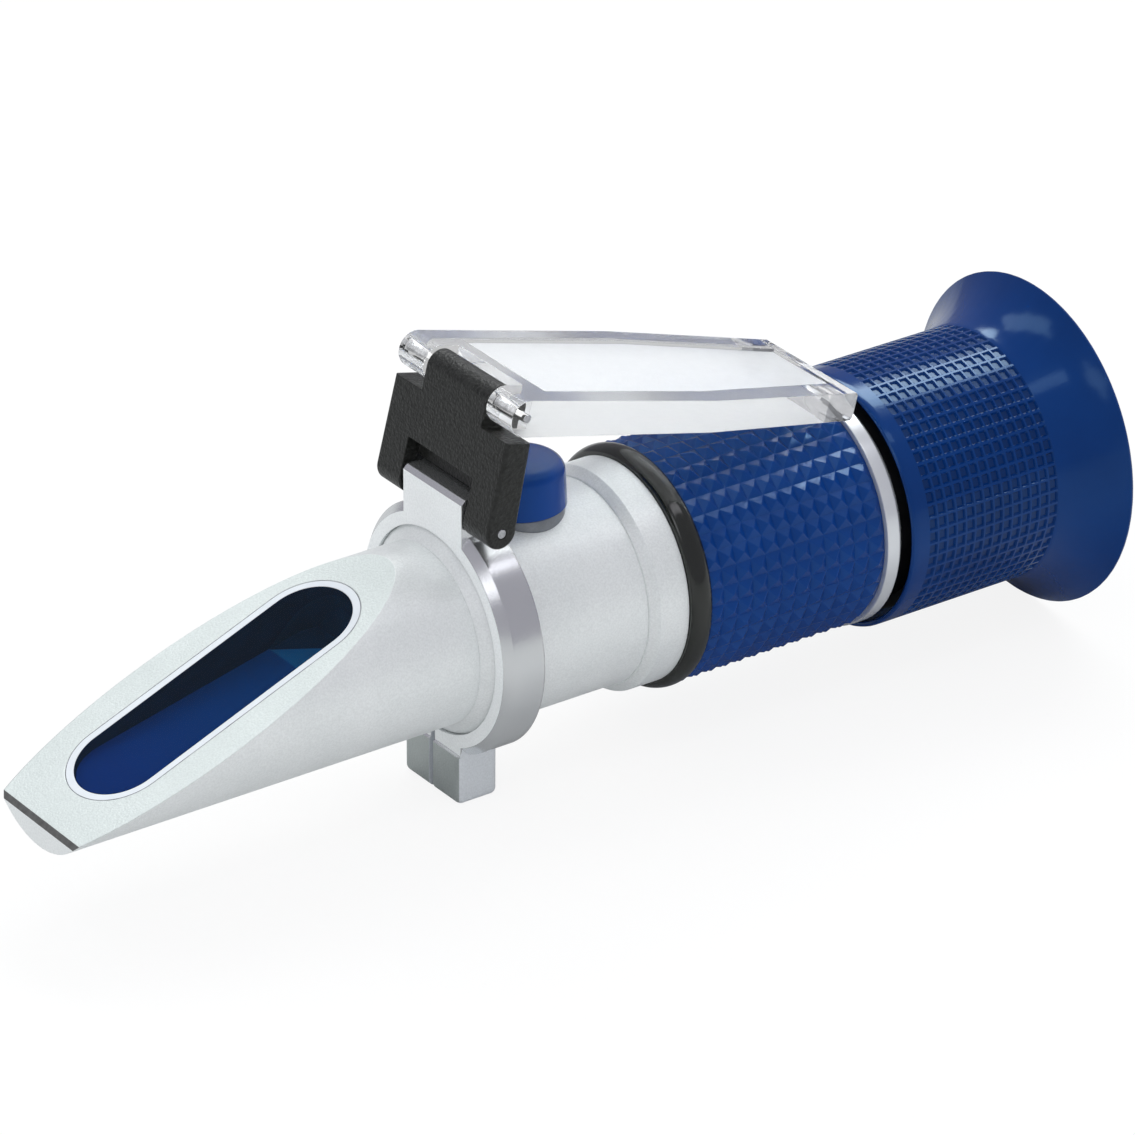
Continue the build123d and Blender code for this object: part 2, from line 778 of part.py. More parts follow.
# Ocular barrel, fixed in the main tube's end; the focus sleeve slides and turns on it
barrel_end = tube_end_x + barrel_length
spigot_x = tube_end_x - barrel_spigot_length
with BuildPart() as ocular_barrel:
    turn(
        [
            (spigot_x, barrel_spigot_bore),
            (spigot_x, main_bore_radius - fixed_gap),
            (tube_end_x + fixed_gap, main_bore_radius - fixed_gap),
            (tube_end_x + fixed_gap, barrel_radius),
            (barrel_end, barrel_radius),
            (barrel_end, barrel_bore_radius),
            (barrel_end - barrel_deep_bore, barrel_bore_radius),
            (barrel_end - barrel_deep_bore, barrel_spigot_bore),
        ]
    )
save(ocular_barrel, "ocular_barrel")

# Reticle disc with the scale, and the ring that clamps it against the barrel
with BuildPart() as reticle:
    turn_ring(
        spigot_x - fixed_gap - reticle_thickness, spigot_x - fixed_gap, 0, main_bore_radius - fixed_gap
    )
save(reticle, "reticle")

reticle_ring_back = spigot_x - 2 * fixed_gap - reticle_thickness
with BuildPart() as reticle_ring:
    turn_ring(
        reticle_ring_back - reticle_ring_length,
        reticle_ring_back,
        reticle_ring_bore,
        main_bore_radius - fixed_gap,
    )
save(reticle_ring, "reticle_ring")

# Lens cell: it slides in the barrel, and the focus sleeve moves it by its flange
sleeve_back = rim_x - sleeve_end
flange_back = sleeve_back - sleeve_lip_width - clear_gap
flange_front = flange_back - cell_flange_width
cell_x = flange_back - cell_length
cell_radius = barrel_bore_radius - sliding_gap
with BuildPart() as lens_cell:
    turn(
        [
            (cell_x, lens_radius - lens_rim),
            (cell_x, cell_radius),
            (flange_front, cell_radius),
            (flange_front, cell_flange_radius),
            (flange_back, cell_flange_radius),
            (flange_back, lens_radius + fixed_gap),
            (cell_x + cell_lip, lens_radius + fixed_gap),
            (cell_x + cell_lip, lens_radius - lens_rim),
        ]
    )
save(lens_cell, "lens_cell")

# Field lens, flat towards the reticle
field_front = cell_x + cell_lip + fixed_gap
field_back = field_front + field_lens_width
with BuildPart() as field_lens:
    turn_lens(field_front, field_back, lens_radius, 0, field_bulge)
save(field_lens, "field_lens")

# Retainer, eye lens and spacer, set in from the eye's side
retainer_x = flange_back - retainer_width
eye_back = retainer_x - fixed_gap
eye_front = eye_back - eye_lens_width
with BuildPart() as lens_retainer:
    turn_ring(retainer_x, flange_back, lens_radius - lens_flat, lens_radius)
save(lens_retainer, "lens_retainer")

with BuildPart() as eye_lens:
    turn_lens(eye_front, eye_back, lens_radius, eye_bulge, eye_bulge)
save(eye_lens, "eye_lens")

with BuildPart() as lens_spacer:
    turn_ring(field_back + fixed_gap, eye_front - fixed_gap, lens_radius - lens_flat / 2, lens_radius)
save(lens_spacer, "lens_spacer")

# Focus sleeve: runs on the barrel, with a lip behind the cell's flange and a groove before it
sleeve_bore = barrel_radius + sliding_gap
sleeve_outer = sleeve_bore + sleeve_wall
snap_back = flange_front - clear_gap
snap_front = snap_back - snap_ring_width
with BuildPart() as focus_sleeve:
    turn(
        [
            (mouth_x + sleeve_setback, sleeve_bore),
            (mouth_x + sleeve_setback, sleeve_outer),
            (sleeve_back, sleeve_outer),
            (sleeve_back, sleeve_lip_radius),
            (sleeve_back - sleeve_lip_width, sleeve_lip_radius),
            (sleeve_back - sleeve_lip_width, sleeve_bore),
        ]
    )
    turn_ring(
        snap_front - fixed_gap,
        snap_back + fixed_gap,
        sleeve_bore - fixed_gap,
        sleeve_bore + snap_groove_depth,
        Mode.SUBTRACT,
    )
save(focus_sleeve, "focus_sleeve")

# Open snap ring in that groove
snap_outer = sleeve_bore + snap_groove_depth - fixed_gap
with BuildPart() as snap_ring:
    turn_ring(snap_front, snap_back, snap_outer - snap_ring_height, snap_outer)
    with BuildSketch(Plane.XY.offset(axis_z)):
        with Locations((snap_front, 0)):
            Rectangle(cell_length, snap_ring_opening)
    extrude(amount=2 * sleeve_outer, mode=Mode.SUBTRACT)
save(snap_ring, "snap_ring")

# Eyecup: a rubber sleeve that flares to a thin rim
flare_x = rim_x - flare_length
mouth_bore = grip_radius + clear_gap
mouth_wall = sleeve_radius - mouth_bore
rim_round = rim_wall / 2
with BuildPart() as eyecup:
    with BuildSketch(side):
        with BuildLine():
            Polyline(
                (rim_x - rim_round, rest_radius - rim_wall),
                (sleeve_back, cup_floor_radius),
                (sleeve_back, sleeve_outer),
                (mouth_x + sleeve_setback, sleeve_outer),
                (mouth_x + sleeve_setback, mouth_bore),
                (mouth_x + mouth_wall / 2, mouth_bore),
            )
            ThreePointArc(
                (mouth_x + mouth_wall / 2, mouth_bore),
                (mouth_x, mouth_bore + mouth_wall / 2),
                (mouth_x + mouth_wall / 2, sleeve_radius),
            )
            Polyline((mouth_x + mouth_wall / 2, sleeve_radius), (flare_x, sleeve_radius))
            SagittaArc((flare_x, sleeve_radius), (rim_x - rim_round, rest_radius), -flare_sagitta)
            ThreePointArc(
                (rim_x - rim_round, rest_radius),
                (rim_x, rest_radius - rim_round),
                (rim_x - rim_round, rest_radius - rim_wall),
            )
        make_face()
    revolve(axis=optical_axis)
save(eyecup, "eyecup")

# Travel of the joints, worked out from the same sizes
plane_rise = tan(radians(prism_angle)) * (arm_pin_x - tip_x) - nose_radius + end_cap_height
pin_over_plane = (arm_pin_height - plane_rise) * cos(radians(prism_angle))
closed_pin_over_plane = plate_knuckle_radius + clear_gap
closed_lift = degrees(asin((closed_pin_over_plane - pin_over_plane) / arm_pitch))
arm_swing = 180 + prism_angle - closed_lift - (90 - arm_lean)
plate_swing = 180 + prism_angle + plate_tilt - arm_swing
focus_travel = focus_lead * focus_turns
print(f"overall length {overall_length:.2f}")
print(f"arm pin at {arm_pin_x:.3f}, {arm_pin_z:.3f}; swing {arm_swing:.2f}")
print(f"plate pin at {plate_pin_x:.3f}, {plate_pin_z:.3f}; tilt {plate_tilt:.2f}; swing {plate_swing:.2f}")
print(f"focus travel {focus_travel:.2f} each way")
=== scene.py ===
import json
import math

import bmesh
import bpy
from mathutils import Matrix, Vector


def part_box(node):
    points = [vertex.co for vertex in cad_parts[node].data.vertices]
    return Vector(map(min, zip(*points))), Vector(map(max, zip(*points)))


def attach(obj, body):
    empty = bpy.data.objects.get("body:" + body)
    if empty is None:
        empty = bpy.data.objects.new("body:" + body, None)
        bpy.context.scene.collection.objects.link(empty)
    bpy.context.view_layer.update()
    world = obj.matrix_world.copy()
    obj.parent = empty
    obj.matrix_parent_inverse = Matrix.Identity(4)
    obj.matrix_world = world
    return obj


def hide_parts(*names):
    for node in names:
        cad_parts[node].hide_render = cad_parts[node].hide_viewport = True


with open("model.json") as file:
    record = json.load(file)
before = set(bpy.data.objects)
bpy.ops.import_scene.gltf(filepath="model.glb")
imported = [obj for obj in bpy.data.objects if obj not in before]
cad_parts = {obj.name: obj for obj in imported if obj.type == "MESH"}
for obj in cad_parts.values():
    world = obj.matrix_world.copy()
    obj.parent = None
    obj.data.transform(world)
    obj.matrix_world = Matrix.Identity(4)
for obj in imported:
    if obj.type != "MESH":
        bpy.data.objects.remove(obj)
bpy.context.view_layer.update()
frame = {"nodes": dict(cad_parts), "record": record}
nodes = frame["nodes"]
MM = 0.001

# Camera, solved from the rings of the instrument in the photograph
CAMERA_PLACE = Vector((-0.40442, -0.56562, 0.38583))
CAMERA_FORWARD = Vector((0.51718, 0.71975, -0.46313))
CAMERA_RIGHT = Vector((0.81388, -0.58100, 0.00593))
CAMERA_LENS_MM = 226.6
CAMERA_SENSOR_MM = 36
CAMERA_NEAR = 0.01
CAMERA_FAR = 20

# Grip: four-sided studs in rows round it, and how far its bore lies inside the rear ring's outside
STUD_COLUMNS = 12
STUD_ROWS = 40
STUD_HEIGHT = 0.55 * MM
STUD_BORDER = 0.22 * MM
STUD_EDGE = 0.05 * MM
STUD_EDGE_DEGREES = 12
GRIP_SEAT = 2 * MM

# Waffle of square pits on the eyecup; ribs and slopes are shares of a pitch, and faces sunk deeper than a
# share of the pit depth are painted darker, as painted shade
WAFFLE_COLUMNS = 14
WAFFLE_ROWS = 60
WAFFLE_START = 2.1 * MM
WAFFLE_PITCH = 1.32 * MM
WAFFLE_DEPTH = 0.27 * MM
WAFFLE_RIB = 0.17
WAFFLE_SLOPE = 0.12
PIT_FLOOR_SHARE = 0.8

# Eyecup: its sleeve, its mouth round the grip, the flare, the rim and the cup inside it
EYECUP_RADIUS = 15.0 * MM
MOUTH_GAP = 0.35 * MM
MOUTH_ROUND = 0.3 * MM
MOUTH_STEPS = 6
FLARE_LENGTH = 7.6 * MM
FLARE_SAGITTA = 0.8 * MM
FLARE_STEPS = 24
RIM_ROUND = 0.45 * MM
RIM_STEPS = 7
CUP_FLOOR_RADIUS = 12.2 * MM
CUP_SAGITTA = 0.3 * MM
CUP_STEPS = 12

# Black ring: how far it swells towards the grip, and how many points its section has
O_RING_SWELL = 0.8 * MM
O_RING_POINTS = 48

# Nose: how far from its tip the chamfer is painted dark, as a painted reflection, and the rounding of the
# seal in it
DARK_CHAMFER_REACH = 0.6 * MM
SEAL_EDGE = 0.1 * MM

# Window of the prism: its tilt, and where the paint on its floor and walls changes colour
PRISM_ANGLE = math.radians(21.7)
WINDOW_UP = Vector((-math.sin(PRISM_ANGLE), 0, math.cos(PRISM_ANGLE)))
PRISM_NAVY_START = -62 * MM
PRISM_NAVY_END = -32 * MM
PRISM_FLOOR_END = -31.9 * MM
PRISM_FLOOR_LOW = 15.7 * MM
PRISM_WALL_LEAN = 0.5
PRISM_TEAL_LEAN = 0.948
PRISM_TEAL_END = -27.0 * MM
PAINT_BLUR = 0.12 * MM

# Daylight plate: its lean, its rounded edges, its recess, and what stays clear at its two ends
PLATE_TILT = 15.69
PLATE_EDGE = 0.16 * MM
RECESS_DEPTH = 0.35 * MM
CLEAR_END = 4.4 * MM
CLEAR_HINGE = 5 * MM

# Calibration cap: its wall, lower edge, taper, round shoulder and domed top
CAP_WALL = 1.0 * MM
CAP_EDGE = 0.15 * MM
CAP_TAPER = 0.2 * MM
CAP_ROUND = 1.5 * MM
CAP_ROUND_STEPS = 12
CAP_DOME = 0.25 * MM
CAP_DOME_RINGS = 8
CAP_TURNS = 96

# Clamp ring and its two ears
CLAMP_RADIUS = 14.4 * MM
EAR_HALF_WIDTH = 5.3 * MM
EAR_HEIGHT = 6.0 * MM
EAR_ROUND = 0.8 * MM
EAR_STEPS = 6

# Block that rounds the ears: its clearance, its least corner, and its margin and height above them
BLOCK_CLEARANCE = 0.002 * MM
BLOCK_CORNER = 0.02 * MM
BLOCK_MARGIN = 20 * MM
BLOCK_HEIGHT = 80 * MM

# Cosines from which a face counts as facing a direction
FACING = 0.9
FACING_PRISM_END = 0.95
FACING_CHAMFER = 0.96
FACING_UNDER = 0.97
FACING_CLOSELY = 0.995
FACING_EAR_FRONT = 0.7
NEARLY_UPRIGHT = 0.1
SEAL_EDGE_LEAST = 0.2
SEAL_EDGE_MOST = 0.98

# Meshes: how finely round pieces are turned, rounded and welded
TURNS = 240
EDGE_STEPS = 3
FLAT_DEGREES = 0.5
WELD = 1e-6
CUT_WELD = 1e-7

# Floor: its size, the share of its own light that the camera sees, and how far reflections dim it
FLOOR_SIZE = 6
FLOOR_GLOW = 0.87
FLOOR_DIMMED = 0.5

# Share of the white surroundings that shows where light is mirrored inside a clear piece
MIRRORED_IN_CLEAR = 0.5

# Lamps, all aimed at one place: name, place, width, height, power in watts and colour
LAMP_AIM = (0.05, 0.0, 0.02)
LAMPS = (
    ("top", (0.55, 0.43, 0.80), 0.85, 0.3, 5.6, (0.97, 1.0, 0.99)),
    ("top_left", (-0.25, 0.45, 0.86), 0.7, 0.25, 1.0, (0.97, 1.0, 0.99)),
    ("left", (-0.79, -0.26, 0.50), 0.2, 0.3, 0.25, (0.97, 0.97, 1.0)),
    ("near", (0.05, -0.37, 0.90), 1.1, 0.14, 0.8, (0.96, 0.95, 1.0)),
)

# Room light, as it falls on the part and as the part mirrors it: colour and strength
ROOM = ((0.95, 0.97, 1.0), 0.88)
ROOM_MIRRORED = ((0.88, 0.86, 0.97), 0.35)
WHITE = ((1, 1, 1), 1.0)


# Places


def middle(node):
    low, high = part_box(node)
    return (low + high) / 2


AXIS_Z = middle("main_tube").z


def radius_of(node):
    low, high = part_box(node)
    return (high.y - low.y) / 2


def span(node):
    low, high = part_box(node)
    return low.x, high.x


# Mesh helpers


def linked_object(name, bm):
    """Turn a bmesh into an object of the scene."""
    mesh = bpy.data.meshes.new(name)
    bm.to_mesh(mesh)
    bm.free()
    obj = bpy.data.objects.new(name, mesh)
    bpy.context.scene.collection.objects.link(obj)
    return obj


def settled_mesh(obj):
    """The mesh that an object's modifiers make of it."""
    evaluated = obj.evaluated_get(bpy.context.evaluated_depsgraph_get())
    return bpy.data.meshes.new_from_object(evaluated)


def new_object(name, bm, body, node=None, sharp=30, weighted=False):
    """Turn a bmesh into an object that rides on a CAD body and may stand for a CAD node."""
    bmesh.ops.recalc_face_normals(bm, faces=bm.faces)
    for face in bm.faces:
        face.smooth = True
    limit = math.radians(sharp)
    for edge in bm.edges:
        edge.smooth = len(edge.link_faces) == 2 and edge.calc_face_angle(0) < limit
    obj = linked_object(name, bm)
    if weighted:
        weigh_normals(obj)
    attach(obj, body)
    if node:
        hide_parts(node)
    return obj


def weigh_normals(obj):
    """Let large faces set the normals, so that flats stay flat between rounded edges."""
    modifier = obj.modifiers.new("weights", "WEIGHTED_NORMAL")
    modifier.keep_sharp = True
    modifier.weight = 100
    settled = settled_mesh(obj)
    obj.modifiers.clear()
    old, obj.data = obj.data, settled
    bpy.data.meshes.remove(old)


def bridge(bm, first, second):
    """Join two rings that have as many points with a band of faces."""
    for j in range(len(first)):
        k = (j + 1) % len(first)
        bm.faces.new((first[j], first[k], second[k], second[j]))


def about_optical_axis(x, r, angle):
    return x, r * math.cos(angle), AXIS_Z + r * math.sin(angle)


def even_angles(count):
    return [2 * math.pi * j / count for j in range(count)]


def turned(name, profile, body, node=None, angles=None, dents=None, sharp=30, place=about_optical_axis):
    """Turn a closed outline of (distance, radius) points, by default about the optical axis."""
    angles = angles or even_angles(TURNS)
    bm = bmesh.new()
    rings = []
    for i, (along, r) in enumerate(profile):
        ring = []
        for j, angle in enumerate(angles):
            depth = dents(i, j) if dents else 0
            ring.append(bm.verts.new(place(along, r - depth, angle)))
        rings.append(ring)
    for first, second in zip(rings, rings[1:] + rings[:1]):
        bridge(bm, first, second)
    return new_object(name, bm, body, node, sharp)


def welded(node):
    """The mesh of a CAD node with its seams closed."""
    bm = bmesh.new()
    bm.from_mesh(nodes[node].data)
    bmesh.ops.remove_doubles(bm, verts=bm.verts, dist=WELD)
    return bm


def dressed(node, body, edge=0.0, sharp=30, weighted=True):
    """A copy of a CAD node, its edges rounded over when an edge width is given; it stands for that node."""
    bm = welded(node)
    if edge:
        bmesh.ops.dissolve_limit(
            bm,
            angle_limit=math.radians(FLAT_DEGREES),
            verts=bm.verts,
            edges=bm.edges,
            use_dissolve_boundaries=False,
        )
        limit = math.radians(sharp)
        hard = [e for e in bm.edges if len(e.link_faces) == 2 and e.calc_face_angle(0) > limit]
        bmesh.ops.bevel(
            bm,
            geom=hard,
            offset=edge,
            segments=EDGE_STEPS,
            profile=0.5,
            affect="EDGES",
            clamp_overlap=True,
        )
    return new_object(node + "_dressed", bm, body, node, sharp, weighted)


# Material helpers


class Finish:
    """A material on the Principled shader, with its variation and relief made by nodes."""

    def __init__(self, name, colour, **settings):
        self.material = bpy.data.materials.new(name)
        self.material.use_nodes = True
        self.tree = self.material.node_tree
        self.shader = self.tree.nodes["Principled BSDF"]
        self.shader.inputs["Base Color"].default_value = (*colour, 1)
        for socket, value in settings.items():
            self.shader.inputs[socket.replace("_", " ")].default_value = value
        self.place = self.node("ShaderNodeTexCoord").outputs["Object"]
        self.relief = None

    def soften(self, radius):
        """Round the edges over in the shading; it comes before any relief."""
        made = self.node("ShaderNodeBevel", samples=6)
        made.inputs["Radius"].default_value = radius
        self.relief = made.outputs["Normal"]
        self.link(self.relief, self.shader.inputs["Normal"])

    def node(self, kind, **values):
        made = self.tree.nodes.new(kind)
        for key, value in values.items():
            setattr(made, key, value)
        return made

    def link(self, a, b):
        self.tree.links.new(a, b)

    def noise(self, size, detail=3, stretch=None):
        """Noise whose grains measure about size, in metres."""
        texture = self.node("ShaderNodeTexNoise")
        texture.inputs["Scale"].default_value = 1 / size
        texture.inputs["Detail"].default_value = detail
        if stretch:
            mapping = self.node("ShaderNodeMapping")
            mapping.inputs["Scale"].default_value = stretch
            self.link(self.place, mapping.inputs["Vector"])
            self.link(mapping.outputs["Vector"], texture.inputs["Vector"])
        else:
            self.link(self.place, texture.inputs["Vector"])
        return texture.outputs["Fac"]

    def ramp(self, value, low, high, low_at=0.3, high_at=0.7):
        """Map a value between two colours."""
        made = self.node("ShaderNodeValToRGB")
        made.color_ramp.elements[0].position = low_at
        made.color_ramp.elements[1].position = high_at
        made.color_ramp.elements[0].color = (*low, 1)
        made.color_ramp.elements[1].color = (*high, 1)
        self.link(value, made.inputs["Fac"])
        return made.outputs["Color"]

    def along(self, axis, start, end):
        """Rise from 0 to 1 between two places on an axis of the piece."""
        made = self.node("ShaderNodeSeparateXYZ")
        self.link(self.place, made.inputs["Vector"])
        return self.spread(made.outputs[axis], 0, 1, start, end)

    def spread(self, value, low, high, start=0.0, end=1.0):
        """Map a value, by default from 0 to 1, to a number range."""
        made = self.node("ShaderNodeMapRange")
        made.inputs["From Min"].default_value = start
        made.inputs["From Max"].default_value = end
        made.inputs["To Min"].default_value = low
        made.inputs["To Max"].default_value = high
        self.link(value, made.inputs["Value"])
        return made.outputs["Result"]

    def bump(self, height, depth):
        """Add relief of a depth in metres; a second call stacks on the first."""
        made = self.node("ShaderNodeBump")
        made.inputs["Distance"].default_value = depth
        self.link(height, made.inputs["Height"])
        if self.relief:
            self.link(self.relief, made.inputs["Normal"])
        self.relief = made.outputs["Normal"]
        self.link(self.relief, self.shader.inputs["Normal"])

    def vary(self, size, low, high, **kw):
        self.link(self.ramp(self.noise(size, **kw), low, high), self.shader.inputs["Base Color"])

    def grain(self, size, low, high, fine, depth):
        """Two colours in patches of a size, each broken by a fine grain that lightens and darkens it."""
        patches = self.ramp(self.noise(size), low, high)
        speckle = self.spread(self.noise(fine, detail=1), 1 - depth, 1 + depth, 0.3, 0.7)
        made = self.node("ShaderNodeVectorMath", operation="SCALE")
        self.link(patches, made.inputs[0])
        self.link(speckle, made.inputs["Scale"])
        self.link(made.outputs["Vector"], self.shader.inputs["Base Color"])

    def rough(self, size, low, high, **kw):
        self.link(self.spread(self.noise(size, **kw), low, high), self.shader.inputs["Roughness"])


# Materials


def satin_metal(name="satin_alloy", low=(0.82, 0.845, 0.84), high=(0.87, 0.89, 0.885), metallic=0.38):
    """Blasted and anodised: a fine even grain."""
    m = Finish(name, high, Metallic=metallic, Roughness=0.40)
    m.soften(0.14 * MM)
    m.grain(7 * MM, low, high, fine=0.22 * MM, depth=0.05)
    m.rough(0.5 * MM, 0.34, 0.46)
    m.bump(m.noise(0.24 * MM, detail=2), 0.045 * MM)
    return m.material


def bright_metal():
    """Turned and polished."""
    m = Finish("bright_alloy", (0.86, 0.875, 0.88), Metallic=0.92, Roughness=0.2)
    m.soften(0.25 * MM)
    m.vary(6 * MM, (0.84, 0.86, 0.87), (0.88, 0.895, 0.9))
    m.rough(3 * MM, 0.17, 0.25)
    m.bump(m.noise(0.5 * MM, detail=2), 0.004 * MM)
    return m.material


def polished_rim():
    """Polished as well, but seen as bright as the photograph shows it in its dark gap."""
    m = Finish("polished_rim", (0.82, 0.84, 0.87), Metallic=0.62, Roughness=0.22)
    m.soften(0.25 * MM)
    m.vary(6 * MM, (0.80, 0.82, 0.85), (0.84, 0.86, 0.89))
    m.rough(3 * MM, 0.18, 0.27)
    m.bump(m.noise(0.5 * MM, detail=2), 0.004 * MM)
    return m.material


def shaded_metal():
    """Darker band under the cap: painted shade."""
    m = Finish("shaded_alloy", (0.20, 0.215, 0.235), Metallic=0.4, Roughness=0.40)
    m.soften(0.14 * MM)
    m.grain(2 * MM, (0.16, 0.17, 0.19), (0.22, 0.235, 0.255), fine=0.22 * MM, depth=0.06)
    return m.material


# Painted reflection: dark grey for the nose tip's chamfer, standing for a dark reflection.
def painted_dark_chamfer():
    m = Finish("painted_dark_chamfer", (0.16, 0.16, 0.155), Metallic=0.5, Roughness=0.5)
    m.vary(0.8 * MM, (0.13, 0.13, 0.125), (0.19, 0.19, 0.185))
    return m.material


def steel():
    m = Finish("steel", (0.62, 0.63, 0.65), Metallic=1.0, Roughness=0.25)
    m.vary(0.5 * MM, (0.45, 0.46, 0.48), (0.75, 0.76, 0.78))
    m.bump(m.noise(0.2 * MM), 0.02 * MM)
    return m.material


def dark_metal():
    m = Finish("dark_alloy", (0.02, 0.02, 0.023), Metallic=0.6, Roughness=0.5)
    m.vary(3 * MM, (0.012, 0.012, 0.014), (0.025, 0.025, 0.028))
    m.rough(1 * MM, 0.42, 0.58)
    return m.material


def bimetal():
    m = Finish("bimetal", (0.55, 0.50, 0.40), Metallic=1.0, Roughness=0.35)
    m.vary(1 * MM, (0.5, 0.46, 0.38), (0.62, 0.57, 0.47))
    return m.material


def black_plastic():
    m = Finish("black_plastic", (0.014, 0.015, 0.013), Roughness=0.42, Specular_IOR_Level=0.45)
    m.soften(0.18 * MM)
    m.vary(0.4 * MM, (0.006, 0.007, 0.005), (0.021, 0.022, 0.020))
    m.rough(0.5 * MM, 0.28, 0.50)
    m.bump(m.noise(0.34 * MM, detail=2), 0.14 * MM)
    return m.material


def blue_rubber(
    name="blue_rubber", low=(0.0015, 0.028, 0.160), high=(0.002, 0.036, 0.195), sheen=(0.17, 0.27)
):
    """Moulded rubber, between two blues and two roughnesses."""
    m = Finish(name, high, Roughness=0.22, Specular_IOR_Level=0.5)
    m.shader.inputs["Specular Tint"].default_value = (0.40, 0.72, 1.0, 1)
    m.vary(9 * MM, low, high)
    m.rough(5 * MM, *sheen)
    m.bump(m.noise(0.7 * MM, detail=3), 0.005 * MM)
    return m.material


def black_rubber():
    m = Finish("black_rubber", (0.008, 0.009, 0.007), Roughness=0.18, Specular_IOR_Level=0.75)
    m.vary(4 * MM, (0.006, 0.007, 0.005), (0.010, 0.012, 0.009))
    m.rough(2 * MM, 0.10, 0.16)
    m.bump(m.noise(0.4 * MM), 0.004 * MM)
    return m.material


def grey_seal():
    m = Finish("grey_seal", (0.70, 0.735, 0.77), Roughness=0.35)
    m.vary(2 * MM, (0.68, 0.715, 0.75), (0.72, 0.755, 0.79))
    m.bump(m.noise(0.6 * MM), 0.006 * MM)
    return m.material


def seal_line():
    """Dark joint between the seal and the metal."""
    m = Finish("seal_line", (0.20, 0.21, 0.24), Roughness=0.6)
    m.vary(3 * MM, (0.10, 0.11, 0.13), (0.42, 0.43, 0.46))
    return m.material


def clear_acrylic():
    m = Finish("clear_acrylic", (0.995, 0.998, 1.0), Roughness=0.02, IOR=1.49, Transmission_Weight=1.0)
    m.rough(4 * MM, 0.0, 0.03)
    m.bump(m.noise(3 * MM, detail=1), 0.006 * MM)
    return m.material


def end_painted_reflection():
    """The plate's clear end, its sides tinted grey with streaks, as a painted reflection."""
    m = Finish("end_painted_reflection", (0.30, 0.31, 0.335), Roughness=0.03, IOR=1.49, Transmission_Weight=1.0)
    m.vary(1.5 * MM, (0.25, 0.26, 0.28), (0.38, 0.39, 0.42), stretch=(1, 1, 4))
    return m.material


def frosted_acrylic():
    m = Finish("frosted_acrylic", (0.97, 0.975, 0.985), Roughness=0.8, IOR=1.3, Transmission_Weight=0.6)
    m.rough(0.5 * MM, 0.7, 0.9)
    m.vary(1.2 * MM, (0.915, 0.925, 0.94), (0.945, 0.955, 0.97))
    m.bump(m.noise(0.3 * MM, detail=3), 0.02 * MM)
    return m.material


def prism_glass():
    m = Finish("prism_glass", (0.94, 0.97, 1.0), Roughness=0.0, IOR=1.5, Transmission_Weight=1.0)
    m.shader.inputs["Specular Tint"].default_value = (0.1, 0.3, 0.5, 1)
    m.rough(5 * MM, 0.0, 0.004)
    return m.material


def changed_past(m, weights, level, plain, beyond):
    """Change a colour past a slanted edge, where a weighted sum of the coordinates passes a level."""
    slant = m.node("ShaderNodeVectorMath", operation="DOT_PRODUCT")
    m.link(m.place, slant.inputs[0])
    slant.inputs[1].default_value = weights
    past = m.spread(slant.outputs["Value"], 0, 1, level - PAINT_BLUR, level + PAINT_BLUR)
    made = m.node("ShaderNodeMix", data_type="RGBA")
    m.link(past, made.inputs["Factor"])
    for socket, colour in (("A", plain), ("B", beyond)):
        target = [i for i in made.inputs if i.name == socket and i.type == "RGBA"][0]
        if isinstance(colour, tuple):
            target.default_value = (*colour, 1)
        else:
            m.link(colour, target)
    return [o for o in made.outputs if o.type == "RGBA"][0]


def prism_floor():
    """Navy under the glass; past its end a lighter teal patch, and past a slanted line the dark end."""
    m = Finish("prism_floor", (0.001, 0.05, 0.26), Roughness=0.5, Specular_IOR_Level=0.0)
    length = m.along("X", PRISM_NAVY_START, PRISM_NAVY_END)
    navy = m.ramp(length, (0.004, 0.040, 0.235), (0.001, 0.062, 0.265), low_at=0.2, high_at=1.0)
    # Past the floor's end a lighter teal patch, up to a slanted line, then dark.
    teal_patch, dark = (0.004, 0.14, 0.40), (0.0, 0.026, 0.075)
    beyond = changed_past(m, (1, PRISM_TEAL_LEAN, 0), PRISM_TEAL_END, teal_patch, dark)
    colour = changed_past(m, (1, 0, 0), PRISM_FLOOR_END, navy, beyond)
    m.link(colour, m.shader.inputs["Base Color"])
    return m.material


def prism_wall():
    """Dark sides of the prism, turning to dark teal past a slanted edge."""
    m = Finish("prism_wall", (0.0, 0.018, 0.05), Roughness=0.5, Specular_IOR_Level=0.0)
    plain = m.ramp(m.noise(5 * MM), (0.0, 0.020, 0.055), (0.0, 0.028, 0.074))
    edge = PRISM_FLOOR_END - PRISM_WALL_LEAN * PRISM_FLOOR_LOW
    colour = changed_past(m, (1, 0, -PRISM_WALL_LEAN), edge, plain, (0.0, 0.034, 0.085))
    m.link(colour, m.shader.inputs["Base Color"])
    return m.material


def prism_end():
    m = Finish("prism_end", (0.0, 0.030, 0.080), Roughness=0.5, Specular_IOR_Level=0.0)
    m.vary(5 * MM, (0.0, 0.026, 0.072), (0.0, 0.034, 0.088))
    return m.material


def lens_glass():
    m = Finish("lens_glass", (0.96, 0.99, 0.98), Roughness=0.0, IOR=1.5, Transmission_Weight=1.0)
    m.rough(5 * MM, 0.0, 0.02)
    return m.material


